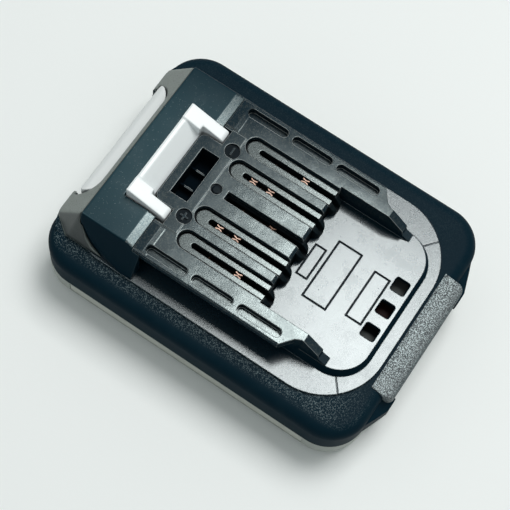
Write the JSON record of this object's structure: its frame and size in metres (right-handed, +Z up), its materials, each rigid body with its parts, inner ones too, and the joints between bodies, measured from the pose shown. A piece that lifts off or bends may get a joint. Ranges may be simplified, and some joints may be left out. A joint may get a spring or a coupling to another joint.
{
  "type": "power tool battery pack",
  "caption": "Slide-on battery pack of a cordless tool: dark case with T rails, open terminal slots, a white sprung latch hook with release button, and a flat layer of cells inside.",
  "frame": {"origin": "middle of the case on the surface it rests on, under the middle of its length over the rear bumper", "axes": "+Z up to the rails, -Y towards the release button, +Y towards the rear bumper, the way in which the tool leaves the rails"},
  "size_m": [0.085, 0.1154, 0.0391],
  "materials": {
    "case_plastic": "fine moulded grain",
    "holder_plastic": "plain moulded",
    "bumper_plastic": "coarse moulded grain",
    "cowl_plastic": "fine moulded grain",
    "housing_plastic": "smooth satin gloss",
    "latch_plastic": "smooth moulded white",
    "spring_steel": "drawn wire",
    "contact_copper": "bright stamped copper alloy",
    "board_laminate": "solder mask",
    "chip_plastic": "moulded epoxy",
    "insulation": "pressed fibre sheet",
    "thermistor_resin": "dipped resin",
    "cell_wrap": "shrunk film",
    "frame_plastic": "plain moulded",
    "nickel": "rolled nickel strip",
    "foam": "soft foam",
    "label": "bare printed film, no text",
    "screw_steel": "zinc-plated, dark"
  },
  "bodies": {
    "pack": {"base_case": "cowl_plastic", "upper_case": "case_plastic", "terminal_holder": "holder_plastic", "rear_bumper": "bumper_plastic", "front_cowl": "cowl_plastic", "latch_housing": "housing_plastic", "latch_spring_left": "spring_steel", "latch_spring_right": "spring_steel", "contact_negative": "contact_copper", "contact_positive": "contact_copper", "contact_middle": "contact_copper", "contacts_sense_left": "contact_copper", "contacts_sense_right": "contact_copper", "control_board": "board_laminate", "board_parts": "chip_plastic", "board_insulator": "insulation", "thermistor": "thermistor_resin", "cell_frame_left": "frame_plastic", "cell_frame_right": "frame_plastic", "bus_strap_left": "contact_copper", "bus_strap_right": "contact_copper", "side_sheet_left": "insulation", "side_sheet_right": "insulation", "cell_pad": "foam", "side_label_left": "label", "side_label_right": "label", "base_label": "label", "case_screws": "screw_steel", "cell_1": "cell_wrap", "cell_2": "cell_wrap", "cell_3": "cell_wrap", "cell_4": "cell_wrap", "cell_5": "cell_wrap", "link_left_front": "nickel", "link_left_middle": "nickel", "end_tab_left": "nickel", "end_tab_right": "nickel", "link_right_middle": "nickel", "link_right_rear": "nickel"},
    "latch": {"latch_hook": "latch_plastic", "release_button": "latch_plastic"}
  },
  "joints": [
    {"name": "latch_press", "type": "slide", "parent": "pack", "child": "latch", "axis": [0, 0, 1], "range_m": [-0.005, 0], "stiffness_N_per_m": 900, "springref_m": 0.003, "deforming": ["latch_spring_left", "latch_spring_right"]}
  ]
}
